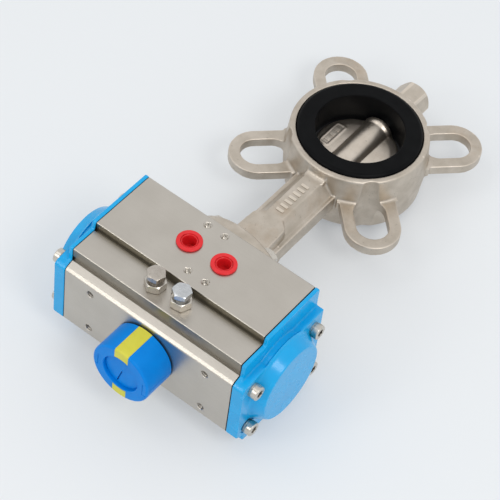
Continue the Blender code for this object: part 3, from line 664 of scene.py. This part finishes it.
def cap_plate_corners():
    """Outline of the cap's thick plate: as the body's, but with a low flat top."""
    front, rear = -FACE_Y - 0.2, FACE_Y + 0.1
    return [
        (front, FRONT_FOOT_Z, 2.0),
        (front, FRONT_TOP_Z - 1.6, 1.6),
        (front + 2.1, FRONT_TOP_Z + 0.2, 1.2),
        (-22.0, CAP_PLATE_TOP - 1.6, 6.0),
        (rear, CAP_PLATE_TOP, 1.5),
        (rear, BASE_Z - 0.1, 3.0),
        (LEDGE_FRONT_Y, BASE_Z - 0.1, 1.5),
        (LEDGE_FRONT_Y - 0.4, FOOT_STEP_Z, 0.5),
        (front + 2.1, FOOT_STEP_Z + 1.2, 1.0),
    ]


def cap_boss():
    """The cap's round boss: a flat end, a tapered flank and a hollow blend onto the plate."""
    blend = arc(2.6, 270, 200, 8, CAP_BOSS_BASE + 1.4, CAP_OUT + 2.6)
    rim = arc(0.6, 10, 90, 4, CAP_BOSS_RADIUS - 0.3, CAP_END - 0.6)
    base = [(CAP_BOSS_BASE, CAP_LIP - 1), (CAP_BOSS_BASE, CAP_OUT - 0.3),
            (CAP_BOSS_BASE + 1.4, CAP_OUT - 0.3)]
    return turned(base + blend + rim, 160)


def end_cap(name, side):
    turn = side_turn(side)
    lip = on_side(side, body_corners(0.2, grooves=False))
    plate = on_side(side, cap_plate_corners())
    shells = [place("lip", prism(rounded(lip), CAP_IN, CAP_LIP), turn=turn),
              place("plate", prism(rounded(plate), CAP_LIP - 1, CAP_OUT), turn=turn),
              place("boss", cap_boss(), (0, 0, CAP_BOSS_Z), turn)]
    cap = fuse(f"{name}_fine", shells, CAP_VOXEL)
    soften(cap, CAP_VOXEL, 4)
    # Machined after casting: the joint face, the hollow behind the boss and the screws' seats.
    cut(cap, box(-60, 60, -60, 60, CAP_IN - 5, CAP_IN + 0.08), turn=turn)
    hollow = [(22.5, CAP_IN - 1), (22.5, CAP_IN + 5), (19.0, CAP_END - 4)]
    cut(cap, turned(hollow, 64), turn=turn)
    places = on_side(side, CAP_SCREWS)
    cut(cap, drills(places, hole(SPOT_FACE_RADIUS, CAP_OUT - 0.5, CAP_END + 1), 48), turn=turn)
    cut(cap, drills(places, hole(CAP_SCREW_HOLE, CAP_IN - 1, CAP_OUT)), turn=turn)
    finish(cap, "housing", BLUE, [name], angle=50, weigh=False)


def cap_gasket(name, side):
    """A thin sheet squeezed between body and cap, standing slightly back from both."""
    turn = side_turn(side)
    low, high = GASKET_IN - 1, GASKET_OUT + 1
    outline = rounded(on_side(side, body_corners(-0.15, grooves=False)))
    gasket = place(f"{name}_fine", prism(outline, GASKET_IN, GASKET_OUT), turn=turn)
    cut(gasket, bar(BORE_RADIUS, low, high), turn=turn)
    cut(gasket, drills(on_side(side, CAP_SCREWS), hole(CAP_SCREW_HOLE, low, high)), turn=turn)
    finish(gasket, "housing", RUBBER, [name])


def socket_screw(name, at, turn):
    """An M5 socket head cap screw with a collar under its head; its seat is its own origin."""
    shank = [(2.4, -17.5), (2.4, 0)]
    collar = [(4.1, 0), (4.25, 0.15), (4.25, 1.0), (4.0, 1.1), (4.0, 1.25)]
    head = [(4.3, 1.35), (4.4, 1.6), (4.4, 4.5)] + arc(0.7, 0, 90, 5, 3.7, 4.5) + [(2.8, 5.2)]
    screw = place(f"{name}_fine", turned(shank + collar + head, 64), at, turn)
    mouth = [(2.0, 1.3), (2.0, 4.75), (2.6, 5.4), (2.6, 7)]
    cut(screw, prism(hexagon(4.2, 0.3), 1.4, 7.0), at, turn)
    cut(screw, turned(mouth, 48), at, turn)
    finish(screw, "housing", BRIGHT, [name], angle=30)


def cap_screws():
    seats = [(side, y, z) for side in (-1, 1) for y, z in CAP_SCREWS]
    for number, (side, y, z) in enumerate(seats, 1):
        socket_screw(f"end_cap_screw_{number}", (side * CAP_OUT, y, z), side_turn(side))


def port_plug(name, x):
    """A plastic transit plug: a thin flange, a fine groove round its collar and a deep cup."""
    top = PAD_Z + 0.2
    cup = [(3.8, 32.8), (3.9, top - 0.2), (4.1, top + 0.6), (4.4, top + 0.8), (4.65, top + 0.7),
           (4.75, top + 0.1), (4.95, top + 0.1), (5.05, top + 0.95), (5.25, top + 1.15)]
    flange = arc(0.45, 90, 0, 4, 7.0, top + 0.72)
    outside = [(7.45, top + 0.1), (7.35, top), (5.3, top), (5.3, 31.7), (5.1, 31.5)]
    plug = place(f"{name}_fine", turned(cup + flange + outside, 96), (x, PORT_Y, 0))
    finish(plug, "housing", RED, [name], angle=30)


def crowned(name, flats, spin, low, high, crown, at=(0, 0, 0), turn=UP, segments=72):
    """A hexagon whose corners are turned down to the crown profile."""
    blank = place(name, prism(hexagon(flats, spin), low, high), at, turn)
    return keep(blank, turned(crown, segments), at, turn)


def stop_bolt(name, x, spin, paint):
    """A hexagon-head bolt, threaded where it shows, above its lock nut."""
    low, high = 42.0, 46.0
    at = (x, STOP_Y, 0)
    thread = []
    height = LEDGE_Z - 4
    while height < low:
        thread += [(2.95, height), (2.6, height + 0.4)]
        height += 0.8
    shank = [(2.3, 8.3), (2.8, 9.2), (2.8, LEDGE_Z - 5)] + thread + [(2.9, low + 1)]
    bolt = place(f"{name}_fine", turned(shank, 48), at)
    crown = [(4.6, low - 0.01), (5.8, low + 0.7), (5.8, high - 0.95), (5.2, high - 0.55),
             (4.5, high - 0.22), (3.5, high - 0.06), (2.4, high)]
    combine(bolt, 'UNION', crowned("head", STOP_BOLT_FLATS, spin, low, high, crown, at))
    finish(bolt, "housing", paint, [name], 0.12, 25)


def stop_nut(name, x, spin, paint):
    low, high = LEDGE_Z + 0.2, LEDGE_Z + 5.6
    at = (x, STOP_Y, 0)
    crown = [(5.5, low - 0.01), (6.5, low + 0.6), (6.5, high - 0.75), (5.4, high + 0.01)]
    nut = crowned(f"{name}_fine", STOP_NUT_FLATS, spin, low, high, crown, at)
    inner = [(3.5, low - 1), (3.5, low), (3.1, low + 0.4), (3.1, high - 0.4), (3.5, high),
             (3.5, high + 1)]
    cut(nut, turned(inner, 48), at)
    finish(nut, "housing", paint, [name], 0.15, 25)


# ---- indicator ----------------------------------------------------------------------------

def indicator_rim():
    """The rounding from the cap's wall onto its front."""
    edge = IND_ROUNDING
    return arc(edge, 0, 90, 6, IND_RADIUS - edge, IND_FRONT - edge)


def indicator_skin(depth, inner):
    """The rim's outer skin down to a depth, for the stripes and the pockets they sit in."""
    r, front = IND_RADIUS, IND_FRONT
    outer = [(r, IND_BACK + 0.1)] + indicator_rim() + [(inner, front)]
    back = [(inner, front - depth), (r - 2.5, front - depth), (r - depth, front - 2.6)]
    back.append((r - depth, IND_BACK + 0.1))
    return outer + back


def stripe_reach(half, sign):
    """A box round one stripe, above or below the cap's middle."""
    low, high = sorted((4 * sign, 24 * sign))
    return box(-half, half, low, high, 30, 60)


def stripe_pocket(sign):
    """The rim's skin where a stripe sits, with all that lies outside it."""
    r, front, inner, beyond = IND_RADIUS, IND_FRONT, POCKET_INNER, 58
    pocket = place("pocket", turned(indicator_skin(POCKET_DEPTH, inner), 144, ring=True),
                   turn=TO_FRONT)
    outer = [(r - 1.0, 35), (r + 1, 35), (r + 1, beyond), (r - 1.0, beyond)]
    face = [(inner, front - 0.6), (r + 1, front - 0.6), (r + 1, beyond), (inner, beyond)]
    join(pocket, turned(outer, 144, ring=True), turn=TO_FRONT)
    join(pocket, turned(face, 144, ring=True), turn=TO_FRONT)
    return keep(pocket, stripe_reach(STRIPE_HALF + POCKET_GAP, sign), turn=TO_FRONT)


def indicator():
    r, front, bottom = IND_RADIUS, IND_FRONT, IND_FRONT - RECESS_DEPTH
    recess = [(RECESS_RADIUS - 0.7, front - 2.0), (RECESS_RADIUS - 0.4, bottom),
              (RECESS_RADIUS, bottom), (RECESS_RADIUS, front - 0.3), (RECESS_RADIUS + 0.3, front)]
    skirt = [(r, IND_BACK + 0.2), (r - 0.2, IND_BACK)]
    # The cup behind is open to the back; the sleeve in its middle holds the pinion's end.
    cup = [(17.3, IND_BACK), (17.3, 52.2), (9.8, 52.2), (9.8, 39.0), (7.8, 39.0), (7.8, 52.6)]
    profile = recess + indicator_rim()[::-1] + skirt + cup
    cap = place("indicator_cap_fine", turned(profile, 144), turn=TO_FRONT)
    for sign in (-1, 1):
        combine(cap, 'DIFFERENCE', stripe_pocket(sign))
    # The pointer mark in the recess, and two moulding marks on the rim.
    mark = rounded([(-0.5, 0.4, 0.15), (0.3, 0.1, 0.15), (-2.7, -10.4, 0.15), (-3.5, -10.2, 0.15)])
    cut(cap, prism(mark, front - 3.3, front), turn=TO_FRONT)
    for sign in (-1, 1):
        upright = sorted((sign * 15.4, sign * 15.75))
        foot = sorted((sign * 15.4, sign * 18.0))
        cut(cap, box(*upright, -4.6, 4.6, front - 0.35, front + 1), turn=TO_FRONT)
        cut(cap, box(*foot, -4.6, -4.25, front - 0.35, front + 1), turn=TO_FRONT)
    # The mould's parting lines, fine grooves along both sides.
    for sign in (-1, 1):
        groove = sorted((sign * (r - 0.12), sign * (r + 1)))
        cut(cap, box(*groove, -0.18, 0.18, IND_BACK + 1.0, front - 1.6), turn=TO_FRONT)
    finish(cap, "rotor", ROYAL, ["indicator_cap"], angle=28)
    for name, sign in (("indicator_stripe_upper", 1), ("indicator_stripe_lower", -1)):
        skin = turned(indicator_skin(STRIPE_THICK, STRIPE_INNER), 144, ring=True)
        stripe = place(f"{name}_fine", skin, turn=TO_FRONT)
        keep(stripe, stripe_reach(STRIPE_HALF, sign), turn=TO_FRONT)
        finish(stripe, "rotor", YELLOW, [name], angle=28)


# ---- valve --------------------------------------------------------------------------------

def ear_outline(angle, tip, half_width, inner, round_inner=False):
    """A long outline from the ring out to a round tip, turned to the ear's direction."""
    outline = arc(half_width, -90, 90, 40, tip - half_width, 0)
    if round_inner:
        outline += arc(half_width, 90, 270, 40, inner + half_width, 0)
    else:
        outline += [(inner, half_width), (inner, -half_width)]
    c, s = math.cos(angle), math.sin(angle)
    return [(x * c - y * s, x * s + y * c) for x, y in outline]


def ring_profile():
    r0, r1, h = RING_INNER, RING_OUTER, RING_HALF
    side = [(r1 - 0.9, h), (r1, h - 0.9), (RING_BELLY, 4.0)]
    return [(r0, -h), (r0, h)] + side + mirror(side)


def root_fillet(radius, height):
    """A hollow fillet all round the ring where a slab of that half height meets it."""
    wall = RING_BELLY - 0.6
    inside = (RING_INNER + 1.9, height + radius)
    upper = [inside] + arc(radius, 180, 270, 8, wall + radius, height + radius)
    return upper + mirror(upper)


def neck_section():
    """The neck's section: a ledge along each side, and a tapered rib with a flat top."""
    quarter = [(14.2, 0), (14.2, 5.3), (12.9, 5.5), (12.1, 4.7), (6.2, 13.0), (5.4, 14.0)]
    upper = quarter + [(-x, z) for x, z in quarter[::-1]]
    return upper + mirror(upper[1:-1])


def valve_shells():
    """The casting's parts as overlapping closed shells."""
    h = EAR_HALF_THICK
    near = FLANGE_END - VALVE_Y
    shells = [place("ring", turned(ring_profile(), 160, ring=True), VALVE)]
    for angle in EAR_ANGLES:
        ear = ear_outline(angle, EAR_TIP, EAR_HALF_WIDTH, RING_INNER + 1.5)
        shells.append(place("ear", prism(ear, -h, h), VALVE))
        fillet = place("fillet", turned(root_fillet(2.6, h), 160, ring=True), VALVE)
        reach = ear_outline(angle, EAR_TIP, EAR_HALF_WIDTH + 1.4, 30)
        shells.append(keep(fillet, prism(reach, -9, 9), VALVE))
    shells.append(place("neck", prism(neck_section(), -near + 1, -near - 77), VALVE, TO_FRONT))
    # A block fills the neck near the flange and narrows into its rib.
    block = rounded([(-12.4, near - 1, 0), (12.4, near - 1, 0), (12.0, near + 14, 0),
                     (11.2, near + 29, 4.0), (5.4, near + 34, 2.0), (-5.4, near + 34, 2.0),
                     (-11.2, near + 29, 4.0), (-12.0, near + 14, 0)])
    shells.append(place("block", prism(block, -13.9, 13.9), VALVE))
    # The rib runs into the ring through a hollow fillet.
    end = place("fillet", turned(root_fillet(3.4, 14.0), 160, ring=True), VALVE)
    shells.append(keep(end, box(-6.6, 6.6, -50, -30, -17.4, 17.4), VALVE))
    flange = [(FLANGE_RADIUS - 0.6, FLANGE_BACK), (FLANGE_RADIUS, FLANGE_BACK + 0.6),
              (FLANGE_RADIUS, FLANGE_END - 1.2), (FLANGE_RADIUS - 1.2, FLANGE_END)]
    shells.append(place("flange", turned(flange, 160), turn=TO_VALVE))
    # The boss under the end plug.
    boss = [(13.5, 40.0), (11.0, 44.5), (10.2, 47.6)]
    shells.append(place("boss", turned(boss, 96), VALVE, TO_VALVE))
    return shells


def valve_body():
    body = fuse("valve_body_fine", valve_shells(), VALVE_VOXEL)
    slots = [prism(ear_outline(angle, SLOT_OUTER, SLOT_HALF_WIDTH, SLOT_INNER, round_inner=True),
                   -RING_HALF - 1, RING_HALF + 1) for angle in EAR_ANGLES]
    cut(body, merge(*slots), VALVE)
    soften(body, VALVE_VOXEL, 3)
    # Machined after casting: the seat's bore, the flange's face and the stem's way through.
    cut(body, bar(RING_INNER, -30, 30, 160), VALVE)
    cut(body, bar(60, 20, FLANGE_BACK + 0.05), turn=TO_VALVE)
    cut(body, drills(FLANGE_BOLTS, hole(3.3, FLANGE_BACK - 1, FLANGE_END + 1)), turn=TO_VALVE)
    # It is wide at the top bush and beside the seat, where the lower bush and the stub's bush are.
    top, bush = FLANGE_BACK - VALVE_Y, STEM_BUSH_HOLE
    stem_way = [(8.6, top - 1), (8.6, top + 11), (STEM_HOLE, top + 11), (STEM_HOLE, -56),
                (bush, -56), (bush, -36)]
    cut(body, turned(stem_way, 48), VALVE, TO_VALVE)
    cut(body, turned([(bush, 36), (bush, 42.6), (7.2, 42.6), (7.2, 50)], 48), VALVE, TO_VALVE)
    # Plain relief bars along the neck's pad.
    for i in range(BARS):
        y = BAR_FIRST_Y + i * BAR_PITCH
        join(body, prism(rounded_box(-2.6, 2.6, y, y + 2.0, 0.5, 4), 12.5, 14.35))
    finish(body, "housing", CAST, ["valve_body"], angle=60, weigh=False)


def seat_liner():
    inner, outer, h, bend = LINER_BORE, RING_INNER - 0.3, LINER_HALF, 2.4
    upper = arc(bend, 0, 90, 10, outer - bend, h - bend)
    upper += arc(0.8, 90, 180, 6, inner + 0.8, h - 0.8)
    liner = place("seat_liner_fine", turned(upper + mirror(upper), 160, ring=True), VALVE)
    for turn in (TO_VALVE, TO_FRONT):
        cut(liner, bar(STEM_HOLE, 20, 40), VALVE, turn)
    finish(liner, "housing", RUBBER, ["seat_liner"], angle=40)


def valve_disc():
    face = [(25.0, 2.1), (20.0, 3.0), (8.0, 3.2)]
    edge = arc(1.3, -60, 60, 8, DISC_RADIUS - 1.3, 0)
    disc = place("valve_disc_fine", turned(mirror(face) + edge + face, 160), VALVE)
    hub_end = [(8.8, 19.8), (9.5, 20.6), (9.9, 21.4), (9.9, 23.7), (9.2, 24.4)]
    join(disc, turned(mirror(hub_end) + hub_end, 96), VALVE, TO_VALVE)
    # A raised pad with a low frame round it and three plain bars on it.
    join(disc, prism(rounded_box(-21.3, -14.2, -10, 10, 1.6), 0, 3.4), VALVE)
    cut(disc, prism(rounded_box(-20.5, -15.0, -9.2, 9.2, 1.0), 3.15, 5), VALVE)
    soften(disc, DISC_VOXEL, 9)
    for y in (-6.4, -1.6, 3.2):
        join(disc, prism(rounded_box(-19.6, -16.0, y, y + 2.6, 0.6, 4), 2.0, 3.3), VALVE)
    square = circle(8.6 / math.sqrt(2), 4, math.pi / 4)
    cut(disc, prism(square, -28, -14.5), VALVE, TO_VALVE)
    cut(disc, bar(6.3, -28, -22.9), VALVE, TO_VALVE)
    cut(disc, bar(6.3, 16.5, 28), VALVE, TO_VALVE)
    finish(disc, "rotor", DISC_CAST, ["valve_disc"], angle=50, weigh=False)


def end_plug():
    low, high = VALVE_Y + 48.0, PLUG_END_Y
    crown = [(9.9, low - 0.01), (11.5, low + 0.9), (11.5, high - 1.6), (9.6, high + 0.01)]
    plug = crowned("stem_end_plug_fine", PLUG_FLATS, 0.18, low, high, crown, turn=TO_VALVE,
                   segments=96)
    join(plug, bar(6.9, VALVE_Y + 43.6, low + 1), turn=TO_VALVE)
    finish(plug, "housing", CAST, ["stem_end_plug"], 0.45, 25, 3)


def mounting_screw(name, spin, at):
    low = FLANGE_END + 2.0
    screw = place(f"{name}_fine", bar(2.5, FACE_Y - 10, low + 1, 32), at, TO_VALVE)
    crown = [(4.9, low - 0.01), (5.8, low + 0.3), (5.8, low + 3.3), (4.8, low + 4.0)]
    head = crowned("head", FLANGE_SCREW_FLATS, spin, low, low + 4, crown, at, TO_VALVE)
    combine(screw, 'UNION', head)
    finish(screw, "housing", BRIGHT, [name], 0.15, 25)


def lock_washer(name, at):
    low = FLANGE_END + 0.3
    high = low + WASHER_HIGH
    ring = turned([(2.9, low), (4.9, low), (4.9, high), (2.9, high)], 64, ring=True)
    finish(place(f"{name}_fine", ring, at, TO_VALVE), "housing", STEEL, [name],
           0.1, 40)


def mounting_screws():
    for i, (x, z) in enumerate(FLANGE_BOLTS):
        mounting_screw(f"mounting_screw_{i + 1}", 0.2 * i, (x, 0, z))
        lock_washer(f"lock_washer_{i + 1}", (x, 0, z))


# ---- the rest of the frame ----------------------------------------------------------------

CARRIED = {
    "front_pinion_o_ring": RUBBER, "rear_pinion_o_ring": RUBBER, "stem_o_ring": RUBBER,
    "left_piston_o_ring": RUBBER, "right_piston_o_ring": RUBBER,
    "left_piston": ALUMINIUM, "right_piston": ALUMINIUM,
    "left_piston_band": BEARING, "right_piston_band": BEARING,
    "left_guide_pad": BEARING, "right_guide_pad": BEARING,
    "front_pinion_bush": BEARING, "rear_pinion_bush": BEARING,
    "stem_top_bush": BEARING, "stem_lower_bush": BEARING, "stub_bush": BEARING,
    "pinion": STEEL, "snap_ring": STEEL, "thrust_washer": STEEL,
    "upper_stem": STEEL, "lower_stem": STEEL,
}


def carry_over():
    """The inner parts stay as the frame has them and only get their materials."""
    for name, paint in CARRIED.items():
        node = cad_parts[name]
        for slot in node.material_slots:
            slot.material = paint
        if not node.material_slots:
            node.data.materials.append(paint)


# ---- studio -------------------------------------------------------------------------------

def floor():
    """The object rests on the flange's rim and the far side of the liner, so the floor slopes."""
    touch_y, touch_z = 45.0, -FLANGE_RADIUS
    far_y, far_z = VALVE_Y + 36.0, -LINER_HALF
    slope = math.atan2(far_z - touch_z, far_y - touch_y)
    size, clearance = 3.0, 0.0002
    mesh = bpy.data.meshes.new("studio_floor")
    corners = [(-size, -size), (size, -size), (size, size), (-size, size)]
    mesh.from_pydata([(x, y, 0) for x, y in corners], [], [(0, 1, 2, 3)])
    mesh.materials.append(floor_paint())
    plane = add_object("studio_floor", mesh)
    plane.location = (0, touch_y * MM, (touch_z + AXIS_Z) * MM - clearance)
    plane.rotation_euler = (slope, 0, 0)


def area_light(name, location, target, size, power, colour):
    """A round soft light, aimed at a target; places are in metres."""
    data = bpy.data.lights.new(name, 'AREA')
    data.shape = 'DISK'
    data.size = size
    data.energy = power
    data.color = colour
    light = add_object(name, data)
    direction = Vector(target) - Vector(location)
    light.rotation_euler = direction.to_track_quat('-Z', 'Y').to_euler()
    light.location = location


def lights():
    """An even white studio: a soft key from the right, a weak overhead and a low front fill."""
    world = bpy.data.worlds.new("studio")
    world.use_nodes = True
    tree = world.node_tree
    background = tree.nodes["Background"]
    source = tree.nodes.new("ShaderNodeTexCoord")
    direction = source.outputs["Generated"]
    rise = ramp(tree, axis(tree, direction, "Z"), 0.1, 0.85, 0.0, 1.0)
    sky = mix(tree, rise, (0.84, 0.86, 0.88), (1.0, 1.005, 1.01))
    back = ramp(tree, axis(tree, direction, "Y"), -0.1, 0.5, 0.0, 1.0)
    tree.links.new(mix(tree, back, sky, (0.98, 0.985, 0.99)), background.inputs["Color"])
    background.inputs["Strength"].default_value = 0.90
    bpy.context.scene.world = world
    bpy.context.scene.view_settings.view_transform = 'Standard'
    middle, front = (0, 0.06, 0.03), (0, -0.03, 0.05)
    daylight, warm = (1.0, 0.985, 0.96), (1.0, 0.98, 0.94)
    area_light("key", (1.05, -0.35, 1.35), middle, 0.6, 6.5, daylight)
    area_light("overhead", (-0.75, -0.45, 1.65), middle, 0.7, 1.3, daylight)
    area_light("strip", (-0.42, -0.98, 0.72), front, 0.4, 1.8, warm)


def camera():
    """The photo's view: a long lens a little over a metre away, above the front right corner."""
    data = bpy.data.cameras.new("camera")
    data.lens = 143.42
    data.sensor_width = 36.0
    data.clip_end = 20
    made = add_object("camera", data)
    tilt, roll, heading = 39.241, -5.344, 37.867
    made.rotation_euler = [math.radians(angle) for angle in (tilt, roll, heading)]
    made.location = (0.37571, -0.55858, 0.90600)
    bpy.context.scene.camera = made


cylinder_body()
end_cap("left_end_cap", -1)
end_cap("right_end_cap", 1)
cap_gasket("left_cap_gasket", -1)
cap_gasket("right_cap_gasket", 1)
cap_screws()
port_plug("left_port_plug", -PORT_X)
port_plug("right_port_plug", PORT_X)
stop_bolt("left_stop_bolt", -STOP_X, 0.18, WARM)
stop_bolt("right_stop_bolt", STOP_X, 0.42, SILVER)
stop_nut("left_stop_nut", -STOP_X, 0.43, BRIGHT)
stop_nut("right_stop_nut", STOP_X, 0.13, BRIGHT)
indicator()
valve_body()
seat_liner()
valve_disc()
end_plug()
mounting_screws()
carry_over()
floor()
lights()
camera()
